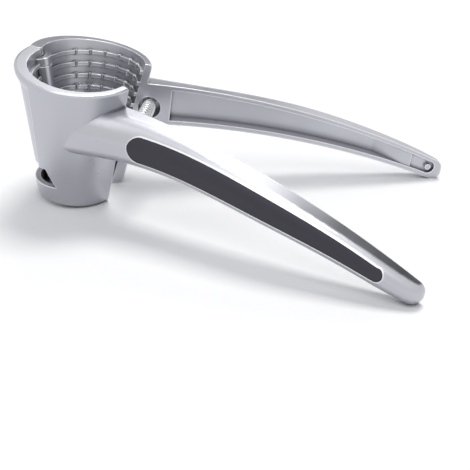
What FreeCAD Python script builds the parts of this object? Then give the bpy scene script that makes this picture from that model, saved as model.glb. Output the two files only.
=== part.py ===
import FreeCAD, Part
import math
import os

# Lever nutcracker press: two cast jaws, each half a toothed cup with a long arched
# handle, turning on one leaning pin and pushed apart by a coil spring.
#
# The casting is drawn closed, in a cup frame: Z is the cup's own axis, X points at the
# handle tips and y = 0 is the plane where the two jaws meet. At the end the jaws are
# opened about the pin and the whole tool is set down on its foot and handle tips.
# Lengths are millimetres and angles are degrees.

# Cup shell
cup_height = 64.3
rim_radius = 28.9
foot_radius = 19.3
rim_fall = 2.55
rim_edge_round = 1.2
foot_edge_round = 1.9

# Cavity inside the cup, with its stepped ribs and teeth
cavity_offset = 1.4
cavity_rim_radius = 24.0
cavity_foot_radius = 12.6
rib_count = 9
rib_first_drop = 4.6
rib_pitch = 5.6
rib_depth = 1.4
rib_height = 1.7
tooth_count = 6
tooth_first_angle = 23.0
tooth_step_angle = 19.0
tooth_width = 2.0
tooth_reach = 1.0
tooth_height = 2.8
tooth_root_sink = 0.5

# Hinge on the side of the cup away from the handles
hinge_inset = 4.7
hinge_lean = 9.7
half_opening = 17.36
pin_radius = 2.0
pin_hole_clearance = 0.05
pin_press_clearance = 0.02
ear_radius = 5.0
running_gap = 0.3
stop_angle_margin = 1.6
rim_gap_angle = 9.0
rim_layer = 3.6
top_ear_end = 7.6
collar_ease = 3.4
collar_wall = 2.6
slot_start = 49.6
slot_end = 59.2
slot_top_x = 15.2
slot_bottom_x = 18.6
panel_depth = 1.4
panel_front_x = -5.6
pin_end_inset = 1.0

# Parting plane between the jaws
parting_gap = 0.6
half_gap = parting_gap / 2.0

# Handle, seen from the side
handle_reach = 178.8
root_x = 33.0
middle_x = 105.0
end_x = 172.0
top_at_root = 53.8
top_at_middle = 48.1
top_at_end = 31.6
height_at_root = 20.2
height_at_middle = 15.5
height_at_end = 10.8

# Handle, seen from above: half widths away from the parting plane
blend_x = 4.0
width_at_blend = 23.6
blend_slope = 0.16
flare_x = 16.0
width_at_flare = 21.2
width_at_root = 16.8
width_at_middle = 14.1
late_x = 146.0
width_at_late = 11.0
width_at_end = 7.6
top_round_root = 11.0
top_round_tip = 4.4
bottom_round_root = 5.0
bottom_round_tip = 4.0

# Channel in the inner face of each handle
channel_start_x = 39.2
channel_end_x = 163.5
channel_flange = 2.2
channel_depth = 6.0
channel_web = 2.2
tip_pocket_depth = 2.0
tip_round_x = 171.6
tip_boss_radius = 1.5

# Soft grip inlay let into the outer face of each handle
inlay_start_x = 46.0
inlay_end_x = 159.6
inlay_left_bulge = 6.2
inlay_right_bulge = 3.2
inlay_drop_root = 3.8
inlay_drop_middle = 1.9
inlay_drop_end = 1.7
inlay_rise = 3.8
inlay_depth = 3.6
inlay_gap = 0.25

# Return spring between the handle roots
spring_x = 29.0
spring_z = 41.7
spring_hole_radius = 5.4
spring_hole_depth = 8.0
spring_outer_diameter = 7.0
spring_wire = 0.9
spring_turns = 17
spring_lead = 2.6
spring_pickup = 0.25

# Standing the tool: the pitch is looked for between two limits, by halving
pitch_limit = 20.0
pitch_halvings = 40
contact_accuracy = 0.05

# Cutting tools: one size larger than the casting, and how far tools run past or overlap
far_out = 300.0
run_past = 4.0
overlap = 1.0


def vec(x, y, z):
    return FreeCAD.Vector(x, y, z)


def line(start, end):
    return Part.LineSegment(start, end).toShape()


def arc(start, through, end):
    return Part.Arc(start, through, end).toShape()


def closed_face(edges):
    return Part.Face(Part.Wire(Part.__sortEdges__(edges)))


def polygon_face(points):
    return Part.Face(Part.makePolygon(points + [points[0]]))


def tan(degrees):
    return math.tan(math.radians(degrees))


def sin(degrees):
    return math.sin(math.radians(degrees))


def cos(degrees):
    return math.cos(math.radians(degrees))


# Hinge frame: its Z is the pin axis and its origin is where the axis meets the rim.
hinge_x = hinge_inset - rim_radius
hinge_z = cup_height - hinge_x * tan(rim_fall)
hinge_place = FreeCAD.Placement(vec(hinge_x, 0, hinge_z),
                                FreeCAD.Rotation(vec(0, 1, 0), -hinge_lean))


def at_hinge(shape):
    return shape.transformed(hinge_place.toMatrix())


def ring_tool(radius, top, bottom):
    """A cylinder about the pin axis, between two depths below the rim."""
    height = bottom - top
    return at_hinge(Part.makeCylinder(radius, height, vec(0, 0, -bottom)))


def slab_tool(top, bottom):
    """Everything between two depths below the rim, square to the pin axis."""
    slab = Part.makeBox(2 * far_out, 2 * far_out, bottom - top,
                        vec(-far_out, -far_out, -bottom))
    return at_hinge(slab)


# Cup
def cup_radius(z):
    return foot_radius + (rim_radius - foot_radius) * z / cup_height


def above_plane(height, slope):
    """The half space above a plane that crosses the cup axis at a height."""
    block = Part.makeBox(2 * far_out, 2 * far_out, far_out, vec(-far_out, -far_out, 0))
    block.rotate(vec(0, 0, 0), vec(0, 1, 0), slope)
    block.translate(vec(0, 0, height))
    return block


def cup_body():
    """The solid cone of the cup, cut by its rim and foot planes, edges eased."""
    over = rim_radius * tan(rim_fall) + overlap
    cone = Part.makeCone(foot_radius, cup_radius(cup_height + over), cup_height + over)
    body = cone.cut(above_plane(cup_height, rim_fall))
    rim_edges = [e for e in body.Edges if e.CenterOfMass.z > cup_height / 2.0 and len(e.Vertexes) == 1]
    body = body.makeFillet(rim_edge_round, rim_edges)
    foot_edges = [e for e in body.Edges if e.CenterOfMass.z < cup_height / 4.0 and len(e.Vertexes) == 1]
    return body.makeFillet(foot_edge_round, foot_edges)


def cavity_radius(z):
    return cavity_foot_radius + (cavity_rim_radius - cavity_foot_radius) * z / cup_height


def cavity_profile():
    """Half section of the cavity: a taper with square ribs standing in from it."""
    points = [vec(0, 0, -run_past)]
    points.append(vec(cavity_radius(-run_past), 0, -run_past))
    for index in reversed(range(rib_count)):
        top = cup_height - rib_first_drop - index * rib_pitch
        bottom = top - rib_height
        points.append(vec(cavity_radius(bottom), 0, bottom))
        points.append(vec(cavity_radius(bottom) - rib_depth, 0, bottom))
        points.append(vec(cavity_radius(top) - rib_depth, 0, top))
        points.append(vec(cavity_radius(top), 0, top))
    points.append(vec(cavity_radius(cup_height + run_past), 0, cup_height + run_past))
    points.append(vec(0, 0, cup_height + run_past))
    return polygon_face(points)


def tooth(radius, top, angle):
    """One tooth: a small upright wedge on the edge of a rib, pointing inwards."""
    base = radius + tooth_root_sink
    tip = radius - tooth_reach
    half = tooth_width / 2.0
    face = polygon_face([vec(base, -half, 0), vec(tip, 0, 0), vec(base, half, 0)])
    wedge = face.extrude(vec(0, 0, tooth_height))
    wedge.translate(vec(0, 0, top - (tooth_height + rib_height) / 2.0))
    wedge.rotate(vec(0, 0, 0), vec(0, 0, 1), angle)
    return wedge


def front_teeth():
    """The teeth of the front jaw, on the handle side of every rib."""
    teeth = []
    for row in range(rib_count):
        top = cup_height - rib_first_drop - row * rib_pitch
        radius = cavity_radius(top) - rib_depth
        for place in range(tooth_count):
            angle = tooth_first_angle + place * tooth_step_angle
            teeth.append(tooth(radius, top, -angle))
    return teeth


def cavity_tool():
    """What is cut from the front jaw to leave the ribs and teeth standing."""
    tool = cavity_profile().revolve(vec(0, 0, 0), vec(0, 0, 1), -180)
    tool = tool.cut(Part.makeCompound(front_teeth()))
    tool.translate(vec(cavity_offset, 0, 0))
    return tool


# Handle
def arc_height(x, at_root, at_middle, at_end):
    """Height at x on the circle through the root, middle and end points."""
    circle = Part.Circle(vec(root_x, 0, at_root), vec(middle_x, 0, at_middle), vec(end_x, 0, at_end))
    across = x - circle.Center.x
    return circle.Center.z + math.sqrt(circle.Radius ** 2 - across ** 2)


def handle_top(x):
    return arc_height(x, top_at_root, top_at_middle, top_at_end)


def handle_bottom(x):
    return arc_height(x, top_at_root - height_at_root, top_at_middle - height_at_middle,
                      top_at_end - height_at_end)


def side_band(start_x, stop_x, inset):
    """Side outline of the handle between two stations, drawn in by an inset."""
    mid_x = (start_x + stop_x) / 2.0
    top = [vec(x, 0, handle_top(x) - inset) for x in (start_x, mid_x, stop_x)]
    low = [vec(x, 0, handle_bottom(x) + inset) for x in (start_x, mid_x, stop_x)]
    return closed_face([arc(*top), arc(*low), line(top[0], low[0]), line(top[2], low[2])])


def plan_curve(inset):
    """The outer side of the handle seen from above, drawn in by an inset."""
    points = [vec(blend_x, -(width_at_blend - inset), 0),
              vec(flare_x, -(width_at_flare - inset), 0),
              vec(root_x, -(width_at_root - inset), 0),
              vec(middle_x, -(width_at_middle - inset), 0),
              vec(late_x, -(width_at_late - inset), 0),
              vec(end_x - inset, -(width_at_end - inset), 0),
              vec(handle_reach - inset, -half_gap, 0)]
    curve = Part.BSplineCurve()
    curve.interpolate(Points=points, InitialTangent=vec(1, blend_slope, 0), FinalTangent=vec(0, 1, 0))
    return curve.toShape(), points[0], points[-1]


def plan_prism(inset):
    """The handle seen from above, from the parting face to its outer side."""
    side, start, tip = plan_curve(inset)
    corner = vec(start.x, -half_gap, 0)
    face = closed_face([side, line(tip, corner), line(corner, start)])
    prism = face.extrude(vec(0, 0, 2 * cup_height))
    prism.translate(vec(0, 0, -cup_height / 2.0))
    return prism


def side_prism(face):
    """A side outline made thick through the front half of the tool."""
    return face.extrude(vec(0, -far_out, 0))


def handle_body():
    """The arched handle: side and plan outlines crossed, outer edges rounded."""
    body = plan_prism(0.0).common(side_prism(side_band(blend_x, handle_reach + run_past, 0.0)))
    body = rounded_along(body, handle_top, top_round_root, top_round_tip)
    return rounded_along(body, handle_bottom, bottom_round_root, bottom_round_tip)


def rounded_along(body, height, at_root, at_tip):
    """Round the long outer edge that follows a height, from root to tip."""
    aim = Part.Vertex(vec(middle_x, -width_at_middle, height(middle_x)))
    edge = min(body.Edges, key=lambda candidate: candidate.distToShape(aim)[0])
    starts_at_root = edge.valueAt(edge.FirstParameter).x < edge.valueAt(edge.LastParameter).x
    if starts_at_root:
        return body.makeFillet(at_root, at_tip, [edge])
    return body.makeFillet(at_tip, at_root, [edge])


def channel_tool():
    """The channel in the handle's inner face, with its shallow pocket at the tip."""
    deep = side_band(channel_start_x, channel_end_x, channel_flange)
    deep = deep.extrude(vec(0, -(half_gap + channel_depth), 0))
    deep = deep.common(plan_prism(inlay_depth + channel_web))
    shallow = side_band(channel_end_x - overlap, tip_round_x, channel_flange)
    shallow = shallow.extrude(vec(0, -(half_gap + tip_pocket_depth), 0))
    tip_centre = vec(tip_round_x, 0, (handle_top(tip_round_x) + handle_bottom(tip_round_x)) / 2.0)
    round_radius = (handle_top(tip_round_x) - handle_bottom(tip_round_x)) / 2.0 - channel_flange
    round_end = Part.makeCylinder(round_radius, half_gap + tip_pocket_depth, tip_centre, vec(0, -1, 0))
    boss = Part.makeCylinder(tip_boss_radius, far_out, tip_centre, vec(0, -1, 0))
    shallow = shallow.fuse(round_end).cut(boss).common(plan_prism(channel_flange))
    return deep.fuse(shallow)


def inlay_outline(inset):
    """Side outline of the grip inlay: a long bent band with round ends."""
    mid_x = (inlay_start_x + inlay_end_x) / 2.0
    drops = ((inlay_start_x, inlay_drop_root), (mid_x, inlay_drop_middle), (inlay_end_x, inlay_drop_end))
    top = [vec(x, 0, handle_top(x) - drop - inset) for x, drop in drops]
    low = [vec(x, 0, handle_bottom(x) + inlay_rise + inset) for x, drop in drops]
    left = vec(inlay_start_x - inlay_left_bulge + inset, 0, (top[0].z + low[0].z) / 2.0)
    right = vec(inlay_end_x + inlay_right_bulge - inset, 0, (top[2].z + low[2].z) / 2.0)
    return closed_face([arc(*top), arc(*low), arc(top[0], left, low[0]), arc(top[2], right, low[2])])


def inlay_block(inset):
    """The space of the grip inlay, from its pocket floor outwards."""
    return side_prism(inlay_outline(inset)).cut(plan_prism(inlay_depth))


# Hinge
def wedge_tool(margin):
    """The clear wedge behind the pin, wider than the opening angle by a margin."""
    spread = far_out * tan(half_opening + margin)
    face = polygon_face([vec(0, 0, 0), vec(-far_out, spread, 0), vec(-far_out, -spread, 0)])
    wedge = face.extrude(vec(0, 0, 2 * far_out))
    wedge.translate(vec(0, 0, -far_out))
    return at_hinge(wedge)


def pin_length_end():
    """Depth of the pin's lower end below the rim, along its axis."""
    return (hinge_z - pin_radius * sin(hinge_lean)) / cos(hinge_lean) - pin_end_inset


def pin_hole(clearance):
    return ring_tool(pin_radius + clearance, rim_layer + running_gap / 2.0, 2 * cup_height)


def slot_tool():
    """The open slot in the front jaw above its lower ear, with a slanting end."""
    points = [vec(-far_out, 0, -slot_start), vec(slot_top_x, 0, -slot_start),
              vec(slot_bottom_x, 0, -slot_end), vec(-far_out, 0, -slot_end)]
    slot = polygon_face(points).extrude(vec(0, -far_out, 0))
    return at_hinge(slot)


def panel_tool():
    """The panel set back in the front jaw's shell, its top eased into the collar."""
    panel_top = hinge_z - top_ear_end
    ease_top = hinge_z - collar_ease
    core = Part.makeCone(cup_radius(0) - panel_depth, cup_radius(panel_top) - panel_depth, panel_top)
    ease = Part.makeCone(cup_radius(panel_top) - panel_depth, cup_radius(ease_top),
                         ease_top - panel_top, vec(0, 0, panel_top))
    zone = Part.makeBox(far_out, far_out, ease_top, vec(panel_front_x - far_out, -far_out, 0))
    return zone.cut(core.fuse(ease)).common(slab_tool(0.0, slot_start))


def collar_tool():
    """What is cleared inside the foot collar, so that the slot opens through it."""
    core = Part.makeCone(cup_radius(0) - collar_wall, cup_radius(cup_height) - collar_wall, cup_height)
    zone = Part.makeBox(far_out, far_out, cup_height, vec(slot_top_x - far_out, -far_out, 0))
    zone = at_hinge(zone.translated(vec(0, 0, -hinge_z)))
    return core.common(zone).common(slab_tool(slot_start, 2 * cup_height))


def open_half(casting):
    """The front half of the closed casting, less the wedge behind the pin."""
    half_space = Part.makeBox(2 * far_out, far_out, 2 * far_out, vec(-far_out, -far_out - half_gap, -far_out))
    return casting.common(half_space).cut(wedge_tool(stop_angle_margin))


def front_casting():
    """Cup and front handle as one solid, drawn closed and not yet parted."""
    return cup_body().fuse(handle_body()).removeSplitter()


def hollow(half):
    """Cavity, channel, spring hole and inlay pocket, cut from a front half."""
    spring_hole = Part.makeCylinder(spring_hole_radius, spring_hole_depth + half_gap,
                                    vec(spring_x, 0, spring_z), vec(0, -1, 0))
    half = half.cut(cavity_tool())
    half = half.cut(channel_tool())
    half = half.cut(spring_hole)
    return half.cut(inlay_block(0.0))


def make_front_jaw(half, body):
    """Front jaw: ears above and below, a slot and a set back panel between."""
    ears = ring_tool(ear_radius, rim_layer + running_gap, top_ear_end)
    ears = ears.fuse(ring_tool(ear_radius, slot_end, 2 * cup_height)).common(body)
    jaw = half.cut(ring_tool(ear_radius + running_gap, top_ear_end, slot_end))
    jaw = jaw.cut(slot_tool())
    jaw = jaw.cut(collar_tool())
    jaw = jaw.cut(panel_tool())
    jaw = jaw.fuse(ears)
    return jaw.cut(pin_hole(pin_press_clearance)).removeSplitter()


def make_rear_jaw(half, body):
    """Rear jaw: the mirror casting with one long knuckle between the ears."""
    jaw = half.mirror(vec(0, 0, 0), vec(0, 1, 0))
    jaw = jaw.cut(wedge_tool(rim_gap_angle).common(slab_tool(-rim_radius, rim_layer)))
    knuckle = ring_tool(ear_radius, top_ear_end + running_gap, slot_end - running_gap).common(body)
    jaw = jaw.cut(ring_tool(ear_radius + running_gap, rim_layer, top_ear_end + running_gap))
    jaw = jaw.cut(ring_tool(ear_radius + running_gap, slot_end - running_gap, 2 * cup_height))
    jaw = jaw.fuse(knuckle)
    return jaw.cut(pin_hole(pin_hole_clearance)).removeSplitter()


def make_pin():
    return ring_tool(pin_radius, rim_layer + running_gap, pin_length_end())


# Opening and standing
def turn_about_pin(angle):
    """The placement that turns a closed shape about the pin axis."""
    axis = hinge_place.Rotation.multVec(vec(0, 0, 1))
    return FreeCAD.Placement(vec(0, 0, 0), FreeCAD.Rotation(axis, angle), hinge_place.Base)


def placed(shape, placement):
    return shape.transformed(placement.toMatrix())


def surface_points(shape):
    return shape.tessellate(contact_accuracy)[0]


def standing_placement(front):
    """Pitch and shift that rest the open tool on its foot and its handle tips.

    The origin comes out on the floor, halfway along the tool.
    """
    points = surface_points(front)
    foot = [p for p in points if p.x < root_x]
    tips = [p for p in points if p.x > middle_x]
    low = -pitch_limit
    high = pitch_limit
    for halving in range(pitch_halvings):
        pitch = (low + high) / 2.0
        foot_low = min(p.z * cos(pitch) - p.x * sin(pitch) for p in foot)
        tips_low = min(p.z * cos(pitch) - p.x * sin(pitch) for p in tips)
        if tips_low > foot_low:
            low = pitch
        else:
            high = pitch
    turn = FreeCAD.Rotation(vec(0, 1, 0), pitch)
    along = [turn.multVec(p).x for p in points]
    middle = (min(along) + max(along)) / 2.0
    return FreeCAD.Placement(vec(-middle, 0, -foot_low), turn), pitch


# Return spring
def biarc(p0, t0, p1, t1):
    """Two arcs that join two points and meet both tangents."""
    chord = p1.sub(p0)
    both = t0.add(t1)
    denominator = 2.0 * (1.0 - t0.dot(t1))
    along = chord.dot(both)
    if abs(denominator) < 1e-9:
        length = chord.dot(chord) / (4.0 * chord.dot(t1))
    else:
        root = math.sqrt(along * along + 2.0 * (1.0 - t0.dot(t1)) * chord.dot(chord))
        length = (root - along) / denominator
    q0 = p0 + t0 * length
    q1 = p1 - t1 * length
    joint = (q0 + q1) * 0.5
    return [arc_by_tangent(p0, t0, joint), arc_by_tangent(joint, q1.sub(q0).normalize(), p1)]


def arc_by_tangent(start, tangent, end):
    """The arc that leaves a point along a tangent and ends at another point."""
    chord = end.sub(start)
    across = chord - tangent * chord.dot(tangent)
    if across.Length < 1e-7:
        return line(start, end)
    normal = FreeCAD.Vector(across).normalize()
    radius = chord.dot(chord) / (2.0 * chord.dot(normal))
    centre = start + normal * radius
    middle = (start + end) * 0.5 - centre
    middle.normalize()
    if chord.dot(tangent) < 0:
        middle = middle * -1.0
    return arc(start, centre + middle * radius, end)


def spring_curve(start, leaves, end):
    """Point and tangent of a helix wound on the arc that leaves the seat squarely."""
    chord = end.sub(start)
    lean = leaves.getAngle(chord)
    bow_radius = chord.Length / 2.0 / math.sin(lean)
    across = FreeCAD.Vector(chord).normalize()
    upright = leaves.cross(across).normalize()
    outward = across.cross(upright)
    centre = (start + end) * 0.5 - outward * (bow_radius * math.cos(lean))
    ring = (spring_outer_diameter - spring_wire) / 2.0
    lead = spring_lead / bow_radius
    swing = 2.0 * (lean - lead)

    def point(turns):
        bend = lead - lean + swing * turns / spring_turns
        out = outward * math.cos(bend) + across * math.sin(bend)
        angle = 2.0 * math.pi * turns
        return centre + out * (bow_radius + ring * math.sin(angle)) + upright * (ring * math.cos(angle))

    def tangent(turns):
        step = 1e-4
        return point(turns + step).sub(point(turns - step)).normalize()

    return point, tangent, upright * ring


def spring_wire_path(start, leaves, end, arrives):
    """Centre line of the wire, its ends run straight and square into the seats."""
    point, tangent, ring = spring_curve(start, leaves, end)
    foot = start + ring + leaves * spring_wire
    head = end + ring - arrives * spring_wire
    edges = [line(start + ring, foot)]
    edges += biarc(foot, leaves, point(spring_pickup), tangent(spring_pickup))
    for half_turn in range(2 * spring_turns - 1):
        here = spring_pickup + half_turn / 2.0
        there = here + 0.5
        edges += biarc(point(here), tangent(here), point(there), tangent(there))
    late = spring_turns - spring_pickup
    edges += biarc(point(late), tangent(late), head, arrives)
    edges.append(line(head, end + ring))
    return edges


def make_spring(start, leaves, end, arrives):
    """The coil spring as one unbroken tube between its two seats."""
    edges = spring_wire_path(start, leaves, end, arrives)
    path = Part.Wire(edges)
    section = Part.Wire(Part.makeCircle(spring_wire / 2.0, edges[0].Vertexes[0].Point, leaves))
    tube = path.makePipeShell([section], True, False)
    report_spring(path, tube)
    return tube


def report_spring(path, tube):
    """Print the tightest bend, the least gap between turns and the volume check."""
    bends = [edge.Curve.Radius for edge in path.Edges if isinstance(edge.Curve, Part.Circle)]
    count = int(path.Length / (spring_wire / 2.0))
    points = path.discretize(count)
    skip = int(5.0 * spring_wire / (path.Length / count))
    least = min(points[i].distanceToPoint(points[j])
                for i in range(count) for j in range(i + skip, min(i + 8 * skip, count)))
    ideal = math.pi * (spring_wire / 2.0) ** 2 * path.Length
    print("spring tightest bend %.2f gap %.2f volume ratio %.4f" % (
        min(bends), least - spring_wire, tube.Volume / ideal))


def export(shape, name):
    path = "parts/" + name + ".step"
    shape.exportStep(path)
    box = shape.BoundBox
    print("%-18s solids %d valid %s volume %.0f x %.1f..%.1f y %.1f..%.1f z %.1f..%.1f" % (
        name, len(shape.Solids), shape.isValid(), shape.Volume,
        box.XMin, box.XMax, box.YMin, box.YMax, box.ZMin, box.ZMax))


def main():
    os.makedirs("parts", exist_ok=True)
    casting = front_casting()
    body = cup_body()
    half = hollow(open_half(casting))
    inlay = handle_body().common(inlay_block(inlay_gap))
    front = make_front_jaw(half, body)
    rear = make_rear_jaw(half, body)

    open_front = turn_about_pin(-half_opening)
    open_rear = turn_about_pin(half_opening)
    stand, pitch = standing_placement(placed(front, open_front))
    to_front = stand.multiply(open_front)
    to_rear = stand.multiply(open_rear)
    print("pitch %.3f stand %s" % (pitch, stand.Base))

    depth = spring_hole_depth + half_gap
    front_seat = to_front.multVec(vec(spring_x, -depth, spring_z))
    rear_seat = to_rear.multVec(vec(spring_x, depth, spring_z))
    leaves = to_front.Rotation.multVec(vec(0, 1, 0))
    arrives = to_rear.Rotation.multVec(vec(0, 1, 0))
    export(placed(front, to_front), "front_jaw")
    export(placed(rear, to_rear), "rear_jaw")
    export(placed(make_pin(), to_front), "hinge_pin")
    export(placed(inlay, to_front), "front_grip_inlay")
    export(placed(inlay.mirror(vec(0, 0, 0), vec(0, 1, 0)), to_rear), "rear_grip_inlay")
    export(make_spring(front_seat, leaves, rear_seat, arrives), "return_spring")
    print("hinge point", stand.multVec(hinge_place.Base))
    print("hinge axis", stand.Rotation.multVec(hinge_place.Rotation.multVec(vec(0, 0, 1))))


main()
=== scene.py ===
# %% [markdown]
# # Lever nutcracker press
# The tool is two cast jaws on one hinge pin, a return spring between the handle roots
# and a soft grip let into each handle. The frame already holds every piece at its real
# size, so this lesson is about finish, light and the camera.

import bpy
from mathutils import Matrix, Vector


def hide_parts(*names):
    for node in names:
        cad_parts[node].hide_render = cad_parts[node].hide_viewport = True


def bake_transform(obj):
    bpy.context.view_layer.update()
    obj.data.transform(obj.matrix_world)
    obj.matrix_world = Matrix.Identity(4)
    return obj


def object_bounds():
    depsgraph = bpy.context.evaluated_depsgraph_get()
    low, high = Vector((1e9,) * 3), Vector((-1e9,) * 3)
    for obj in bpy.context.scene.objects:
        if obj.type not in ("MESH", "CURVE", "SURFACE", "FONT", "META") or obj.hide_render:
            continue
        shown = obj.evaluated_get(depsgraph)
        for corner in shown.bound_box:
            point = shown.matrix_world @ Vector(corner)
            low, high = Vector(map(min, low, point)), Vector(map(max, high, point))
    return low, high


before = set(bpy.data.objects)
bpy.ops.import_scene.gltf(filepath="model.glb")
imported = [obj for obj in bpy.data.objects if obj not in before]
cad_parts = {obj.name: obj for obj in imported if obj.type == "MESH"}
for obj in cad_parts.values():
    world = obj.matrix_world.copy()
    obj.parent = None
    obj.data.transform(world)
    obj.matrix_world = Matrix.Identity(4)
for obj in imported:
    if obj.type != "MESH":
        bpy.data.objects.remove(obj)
cad_low, cad_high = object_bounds()
print("frame box", cad_low, cad_high)

# %% [markdown]
# A few standard modules do the arithmetic, and MM turns millimetres into the metres that
# the scene works in. Sizes are easier to judge when they are written in millimetres.

# %% Tools used below
import math

import bpy
from mathutils import Matrix, Vector

MM = 0.001

# %% [markdown]
# Colours are written the way a designer reads them, as sRGB hex values. Blender wants
# linear light, so one function converts them. A second small function adds any shader
# node, sets its properties and joins its inputs.

# %% Colour and node helpers
def linear(hex_colour):
    """The linear RGBA of an sRGB hex colour such as 'c8c9cc'."""
    channels = [int(hex_colour[i:i + 2], 16) / 255.0 for i in (0, 2, 4)]
    return [c / 12.92 if c <= 0.04045 else ((c + 0.055) / 1.055) ** 2.4 for c in channels] + [1.0]


def add_node(tree, kind, inputs=None, **properties):
    """Add a node, set its properties, and set or link its inputs."""
    node = tree.nodes.new(kind)
    for name, value in properties.items():
        setattr(node, name, value)
    for name, value in (inputs or {}).items():
        if isinstance(value, bpy.types.NodeSocket):
            tree.links.new(value, node.inputs[name])
        else:
            node.inputs[name].default_value = value
    return node


def new_material(name):
    """An empty node material with its output node."""
    material = bpy.data.materials.new(name)
    material.use_nodes = True
    material.node_tree.nodes.clear()
    output = add_node(material.node_tree, "ShaderNodeOutputMaterial")
    return material, material.node_tree, output


# %% [markdown]
# ## Satin plated zinc
# The jaws are die cast zinc, tumbled with small stones and plated with satin nickel.
# Tumbling leaves a fine even grain, so the metal reflects in soft patches and never like
# a mirror. Shade and highlight are painted into its colour. Ambient Occlusion measures how
# shut in a point is, and corners get painted shade, a dark tone mixed in. With Inside on it
# looks into the metal and finds thin outer edges, which get a painted highlight, a pale
# tone mixed in. A casting has no sharp edge at all, so a Bevel node bends the light over
# each edge as a small round would. The real grain is about a tenth of a millimetre, too
# fine for the picture, so it is drawn three times coarser.

# %% Satin plated zinc
GRAIN = 0.35 * MM
FLOW = 16.0 * MM
CORNER_REACH = 2.2 * MM
EDGE_REACH = 0.7 * MM
CAST_EDGE = 0.5 * MM
# Tones: painted shade for shut in corners, the plated metal, and a painted highlight for thin outer
# edges.
PAINTED_SHADE_TONE, PLATED_TONE, PAINTED_HIGHLIGHT_TONE = "46454d", "babbc1", "f2f2f5"
CORNER_OPENNESS = (0.25, 0.85)
EDGE_OPENNESS = (0.55, 0.92)
PLATED_ROUGHNESS = (0.27, 0.33)


def satin_zinc():
    material, tree, output = new_material("satin_plated_zinc")
    place = add_node(tree, "ShaderNodeTexCoord").outputs["Object"]
    grain = add_node(tree, "ShaderNodeTexNoise", {
        "Vector": place, "Scale": 1.0 / GRAIN, "Detail": 3.0})
    flow = add_node(tree, "ShaderNodeTexNoise", {"Vector": place, "Scale": 1.0 / FLOW, "Detail": 2.0})
    corner = add_node(tree, "ShaderNodeAmbientOcclusion", {"Distance": CORNER_REACH}, samples=6)
    edge = add_node(tree, "ShaderNodeAmbientOcclusion", {"Distance": EDGE_REACH}, samples=6,
                    inside=True)
    # Painted shade: where a point is shut in, the dark tone is mixed into the colour.
    clear = add_node(tree, "ShaderNodeMapRange", {
        "Value": corner.outputs["AO"], "From Min": CORNER_OPENNESS[0], "From Max": CORNER_OPENNESS[1],
        "To Min": 0.0, "To Max": 1.0})
    # Painted highlight: thin outer edges, found with Inside on, get the pale tone.
    edge_highlight_mask = add_node(tree, "ShaderNodeMapRange", {
        "Value": edge.outputs["AO"], "From Min": EDGE_OPENNESS[0], "From Max": EDGE_OPENNESS[1],
        "To Min": 1.0, "To Max": 0.0})
    painted_shade_mix = add_node(tree, "ShaderNodeMix", {
        "Factor": clear.outputs["Result"], "A": linear(PAINTED_SHADE_TONE),
        "B": linear(PLATED_TONE)}, data_type="RGBA")
    painted_highlight_mix = add_node(tree, "ShaderNodeMix", {
        "Factor": edge_highlight_mask.outputs["Result"], "A": painted_shade_mix.outputs["Result"],
        "B": linear(PAINTED_HIGHLIGHT_TONE)}, data_type="RGBA")
    rough = add_node(tree, "ShaderNodeMapRange", {
        "Value": flow.outputs["Fac"], "From Min": 0.3, "From Max": 0.7,
        "To Min": PLATED_ROUGHNESS[0], "To Max": PLATED_ROUGHNESS[1]})
    eased = add_node(tree, "ShaderNodeBevel", {"Radius": CAST_EDGE}, samples=6)
    bump = add_node(tree, "ShaderNodeBump", {"Height": grain.outputs["Fac"], "Strength": 0.12,
                                             "Distance": 0.02 * MM, "Normal": eased.outputs["Normal"]})
    shader = add_node(tree, "ShaderNodeBsdfPrincipled", {
        "Base Color": painted_highlight_mix.outputs["Result"], "Metallic": 1.0,
        "Roughness": rough.outputs["Result"], "Normal": bump.outputs["Normal"]})
    tree.links.new(shader.outputs["BSDF"], output.inputs["Surface"])
    return material


zinc = satin_zinc()
print("made", zinc.name)

# %% [markdown]
# ## Ground steel pin and drawn spring wire
# The pin is ground and the spring wire is drawn through a die: both are brighter and
# tighter in reflection than the casting. Ambient Occlusion paints shade on the shut in side
# of pin and wire, a dark tone mixed in, so each coil reads by itself. Grinding and drawing
# lines are hundredths of a millimetre wide. They are drawn about ten times coarser, so that
# they show.

# %% Steel finishes
SHELTER_REACH = 1.4 * MM
WIRE_OPENNESS = (0.50, 0.95)
ROUGHNESS_SPREAD = 0.05


def bright_steel(name, shut, open_to_air, roughness, streak):
    material, tree, output = new_material(name)
    place = add_node(tree, "ShaderNodeTexCoord").outputs["Object"]
    lines = add_node(tree, "ShaderNodeTexNoise", {
        "Vector": place, "Scale": 1.0 / streak, "Detail": 2.0})
    shelter = add_node(tree, "ShaderNodeAmbientOcclusion", {"Distance": SHELTER_REACH}, samples=8)
    # Painted shade: the shut in side gets the dark tone.
    clear = add_node(tree, "ShaderNodeMapRange", {
        "Value": shelter.outputs["AO"], "From Min": WIRE_OPENNESS[0], "From Max": WIRE_OPENNESS[1]})
    tone = add_node(tree, "ShaderNodeMix", {
        "Factor": clear.outputs["Result"], "A": linear(shut),
        "B": linear(open_to_air)}, data_type="RGBA")
    rough = add_node(tree, "ShaderNodeMapRange", {
        "Value": lines.outputs["Fac"], "To Min": roughness - ROUGHNESS_SPREAD,
        "To Max": roughness + ROUGHNESS_SPREAD})
    bump = add_node(tree, "ShaderNodeBump", {"Height": lines.outputs["Fac"], "Strength": 0.08,
                                             "Distance": 0.01 * MM})
    shader = add_node(tree, "ShaderNodeBsdfPrincipled", {
        "Base Color": tone.outputs["Result"], "Metallic": 1.0,
        "Roughness": rough.outputs["Result"], "Normal": bump.outputs["Normal"]})
    tree.links.new(shader.outputs["BSDF"], output.inputs["Surface"])
    return material


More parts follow.
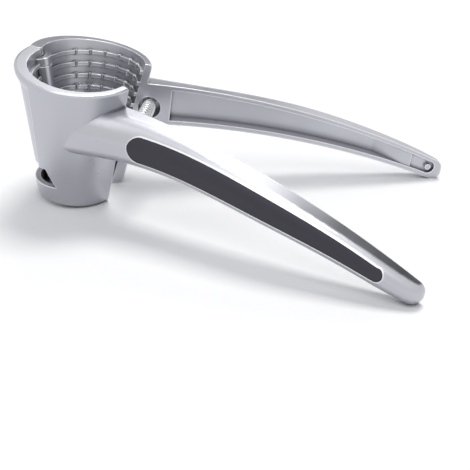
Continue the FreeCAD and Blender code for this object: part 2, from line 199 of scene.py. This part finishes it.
# In each finish the shut tone is painted shade.
pin_steel = bright_steel("ground_steel_pin", shut="6b6b70", open_to_air="b9bbbe",
                         roughness=0.26, streak=0.25 * MM)
wire_steel = bright_steel("drawn_spring_wire", shut="2b2a30", open_to_air="e6e6e8",
                          roughness=0.20, streak=0.20 * MM)
print("made", pin_steel.name, wire_steel.name)

# %% [markdown]
# ## Soft grip
# The inlays are a moulded rubbery plastic (TPE) with a fine eroded texture from the
# mould. It is a dark plum grey, matt, with a faint broad sheen. The real texture is about
# a tenth of a millimetre, and is drawn coarser so that it shows.

# %% Moulded soft grip
TEXTURE = 0.35 * MM
GRIP_TONE = "2f2d38"
GRIP_ROUGHNESS = (0.50, 0.66)


def soft_grip():
    material, tree, output = new_material("moulded_tpe_grip")
    place = add_node(tree, "ShaderNodeTexCoord").outputs["Object"]
    pits = add_node(tree, "ShaderNodeTexNoise", {
        "Vector": place, "Scale": 1.0 / TEXTURE, "Detail": 4.0})
    rough = add_node(tree, "ShaderNodeMapRange", {
        "Value": pits.outputs["Fac"], "To Min": GRIP_ROUGHNESS[0], "To Max": GRIP_ROUGHNESS[1]})
    bump = add_node(tree, "ShaderNodeBump", {"Height": pits.outputs["Fac"], "Strength": 0.25,
                                             "Distance": 0.03 * MM})
    shader = add_node(tree, "ShaderNodeBsdfPrincipled", {
        "Base Color": linear(GRIP_TONE), "Roughness": rough.outputs["Result"],
        "IOR": 1.5, "Normal": bump.outputs["Normal"]})
    tree.links.new(shader.outputs["BSDF"], output.inputs["Surface"])
    return material


grip = soft_grip()
print("made", grip.name)

# %% [markdown]
# ## Dressing the frame
# The five rigid pieces already have their true shape in the frame, so they keep it and
# only get a better finish. A finish goes into the material slot of the piece's mesh.

# %% Dress the rigid pieces
FINISHES = {"front_jaw": zinc, "rear_jaw": zinc, "hinge_pin": pin_steel,
            "front_grip_inlay": grip, "rear_grip_inlay": grip}
for node, finish in FINISHES.items():
    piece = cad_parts[node]
    piece.data.materials.clear()
    piece.data.materials.append(finish)
    print("dressed", node, "with", finish.name)

# %% [markdown]
# ## Return spring
# The spring joins both jaws, so no single body can carry it: as the handles close, its
# two ends come together. A copy of the frame's spring stands in for the node, which is
# hidden. The copy gets the drawn wire finish, and its place is baked into its mesh.

wire_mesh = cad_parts["return_spring"].data.copy()
spring = bpy.data.objects.new("coil_spring", wire_mesh)
bpy.context.collection.objects.link(spring)
wire_mesh.materials.clear()
wire_mesh.materials.append(wire_steel)
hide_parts("return_spring")
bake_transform(spring)

# %% [markdown]
# ## Floor
# The tool stands on a white paper sweep. Near the tool the paper is plain diffuse, so it
# shows the soft shadows. Further out it fades into even white, as a sweep does that
# curves up out of sight. The fade goes by the distance from the tool. Light Path shows
# the even white to the eye and in reflections, so it sends no diffuse light onto the tool.
# Paper fibres are far finer than the 1.5 mm patches that stand for them here.

# %% White paper sweep
SHADOW_ROOM = 450.0 * MM
SWEEP_END = 1200.0 * MM
FIBRE_PATCH = 1.5 * MM
FLOOR_DROP = 0.05 * MM
HALF_SHEET = 6.0


def seen_ray(tree):
    """1 for rays from the camera and for mirrored or refracted ones, otherwise 0."""
    path = add_node(tree, "ShaderNodeLightPath")
    mirrored = add_node(tree, "ShaderNodeMath", {
        0: path.outputs["Is Camera Ray"], 1: path.outputs["Is Glossy Ray"]}, operation="MAXIMUM")
    either = add_node(tree, "ShaderNodeMath", {
        0: mirrored.outputs["Value"], 1: path.outputs["Is Transmission Ray"]}, operation="MAXIMUM")
    return either.outputs["Value"]


def white_sweep():
    material, tree, output = new_material("white_paper_sweep")
    place = add_node(tree, "ShaderNodeTexCoord").outputs["Object"]
    distance = add_node(tree, "ShaderNodeVectorMath", {0: place}, operation="LENGTH")
    away = add_node(tree, "ShaderNodeMapRange", {"Value": distance.outputs["Value"],
                                                 "From Min": SHADOW_ROOM, "From Max": SWEEP_END},
                    interpolation_type="SMOOTHSTEP")
    fade = add_node(tree, "ShaderNodeMath", {0: away.outputs["Result"], 1: seen_ray(tree)},
                    operation="MULTIPLY")
    fibres = add_node(tree, "ShaderNodeTexNoise", {"Vector": place, "Scale": 1.0 / FIBRE_PATCH})
    tone = add_node(tree, "ShaderNodeMix", {"Factor": fibres.outputs["Fac"], "A": linear("fbfbfb"),
                                            "B": linear("ffffff")}, data_type="RGBA")
    paper = add_node(tree, "ShaderNodeBsdfDiffuse", {"Color": tone.outputs["Result"]})
    even = add_node(tree, "ShaderNodeEmission", {"Color": linear("ffffff"), "Strength": 1.0})
    mixed = add_node(tree, "ShaderNodeMixShader", {0: fade.outputs["Value"], 1: paper.outputs["BSDF"],
                                                   2: even.outputs["Emission"]})
    tree.links.new(mixed.outputs["Shader"], output.inputs["Surface"])
    return material


def paper_sheet(half):
    """A large square sheet just under the tool."""
    mesh = bpy.data.meshes.new("paper")
    corners = [(-half, -half, 0.0), (half, -half, 0.0), (half, half, 0.0), (-half, half, 0.0)]
    mesh.from_pydata(corners, [], [(0, 1, 2, 3)])
    sheet = bpy.data.objects.new("paper_sweep", mesh)
    sheet.location.z = cad_low[2] - FLOOR_DROP
    mesh.materials.append(white_sweep())
    bpy.context.collection.objects.link(sheet)
    return sheet


floor = paper_sheet(HALF_SHEET)
print("floor at %.2f mm" % (floor.location.z / MM))

# %% [markdown]
# ## White room
# Metal shows the room, so the room is part of its look. The camera, mirrored rays and
# refracted rays all see plain white at strength 1. Diffuse surfaces get a softer, even
# light, so the softboxes still decide where the shadows fall.

# %% White room
ROOM_LIGHT = 0.50

world = bpy.data.worlds.new("studio")
bpy.context.scene.world = world
world.use_nodes = True
room = world.node_tree
room.nodes.clear()
room_out = add_node(room, "ShaderNodeOutputWorld")
soft = add_node(room, "ShaderNodeBackground", {"Color": linear("f4f5fa"), "Strength": ROOM_LIGHT})
white = add_node(room, "ShaderNodeBackground", {"Color": linear("ffffff"), "Strength": 1.0})
shown = add_node(room, "ShaderNodeMixShader", {0: seen_ray(room), 1: soft.outputs["Background"],
                                               2: white.outputs["Background"]})
room.links.new(shown.outputs["Shader"], room_out.inputs["Surface"])
print("room light", ROOM_LIGHT)

# %% [markdown]
# ## Flags
# Metal in a white room looks like white plastic. Photographers stand dark cards, called
# flags, out of view for the metal to mirror. One behind on the right darkens the top
# near the handle tips. A low one behind on the left calms the flat rims of the cup. Only
# reflections see them: they are stage pieces, like the floor, and no part of the tool.

# %% Flags
TOOL_MIDDLE = (0.0, 0.0, 0.03)
NAP = 2.0 * MM


def aim(thing, place, target):
    """Put a thing somewhere and turn it so that its -Z looks at a target."""
    thing.location = place
    thing.rotation_mode = "QUATERNION"
    thing.rotation_quaternion = (Vector(target) - Vector(place)).to_track_quat("-Z", "Y")


def flag_card(name, dark, light):
    material, tree, output = new_material(name)
    place = add_node(tree, "ShaderNodeTexCoord").outputs["Object"]
    nap = add_node(tree, "ShaderNodeTexNoise", {"Vector": place, "Scale": 1.0 / NAP})
    tone = add_node(tree, "ShaderNodeMix", {"Factor": nap.outputs["Fac"], "A": linear(dark),
                                            "B": linear(light)}, data_type="RGBA")
    card = add_node(tree, "ShaderNodeBsdfDiffuse", {"Color": tone.outputs["Result"]})
    tree.links.new(card.outputs["BSDF"], output.inputs["Surface"])
    return material


def flag(name, place, width, height, material):
    """A dark card, a stage piece like the floor, that only reflections see."""
    x, y = width / 2.0, height / 2.0
    mesh = bpy.data.meshes.new(name)
    mesh.from_pydata([(-x, -y, 0.0), (x, -y, 0.0), (x, y, 0.0), (-x, y, 0.0)], [], [(0, 1, 2, 3)])
    mesh.materials.append(material)
    card = bpy.data.objects.new(name, mesh)
    bpy.context.collection.objects.link(card)
    aim(card, place, TOOL_MIDDLE)
    card.visible_camera = False
    card.visible_diffuse = False
    card.visible_shadow = False
    print("flag", name, width, "by", height, "m")


flag("right_flag", place=(0.80, 1.00, 0.90), width=0.95, height=0.95,
     material=flag_card("dark_flag_card", dark="141416", light="1c1c20"))
flag("left_flag", place=(-0.55, 1.55, 0.72), width=1.30, height=0.55,
     material=flag_card("grey_flag_card", dark="6c6c72", light="76767c"))

# %% [markdown]
# ## Softboxes
# Three softboxes, each with one job. The rear one is low and wide, and the top faces of
# the handles mirror it. The key hangs high and a little behind, and throws the soft
# shadows. The overhead one is large and on the camera's side. It puts the bright strip
# on the rounded edge of the handle and opens up the inside of the cup.

# %% Softboxes
def softbox(name, place, target, size, watts):
    lamp = bpy.data.lights.new(name, "AREA")
    lamp.shape = "RECTANGLE"
    lamp.size, lamp.size_y = size
    lamp.energy = watts
    light = bpy.data.objects.new(name, lamp)
    bpy.context.collection.objects.link(light)
    aim(light, place, target)
    print("softbox", name, watts, "W")
    return light


softbox("rear_softbox", place=(-0.12, 1.53, 1.26), target=TOOL_MIDDLE, size=(1.0, 0.6), watts=3.4)
softbox("key_softbox", place=(0.16, 0.72, 2.07), target=(0.0, 0.0, 0.02), size=(0.7, 0.7),
        watts=22.0)
softbox("overhead_softbox", place=(0.0, -0.84, 1.80), target=(0.0, 0.0, 0.0), size=(1.2, 1.4),
        watts=8.0)

# %% [markdown]
# ## Camera
# The camera was matched to the photo: its place is in the frame's metres, and its turn
# is given as the way right, up and back point.

# %% Camera
IMAGE_WIDTH = 470.0
FOCAL_PIXELS = 880.7
SENSOR = 36.0
SHIFT_PIXELS = (7.6, 0.45)
EYE = Vector((0.0942, -0.3592, 0.2025))
YAW, PITCH, ROLL = math.radians(-14.70), math.radians(30.50), math.radians(0.43)

look = Vector((math.sin(YAW) * math.cos(PITCH), math.cos(YAW) * math.cos(PITCH), -math.sin(PITCH)))
level = Vector((math.cos(YAW), -math.sin(YAW), 0.0))
rise = level.cross(look)
right = level * math.cos(ROLL) + rise * math.sin(ROLL)
up = rise * math.cos(ROLL) - level * math.sin(ROLL)
camera_data = bpy.data.cameras.new("camera")
camera_data.sensor_width = SENSOR
camera_data.lens = SENSOR * FOCAL_PIXELS / IMAGE_WIDTH
camera_data.shift_x = SHIFT_PIXELS[0] / IMAGE_WIDTH
camera_data.shift_y = SHIFT_PIXELS[1] / IMAGE_WIDTH
camera = bpy.data.objects.new("camera", camera_data)
bpy.context.collection.objects.link(camera)
axes = Matrix((right, up, -look)).transposed().to_4x4()
camera.matrix_world = Matrix.Translation(EYE) @ axes
camera_data.clip_start = 0.01
bpy.context.scene.camera = camera

# %% [markdown]
# ## Colour management
# The plain Standard view keeps the colours as they were picked.

# %% Colour management
view = bpy.context.scene.view_settings
view.view_transform = "Standard"
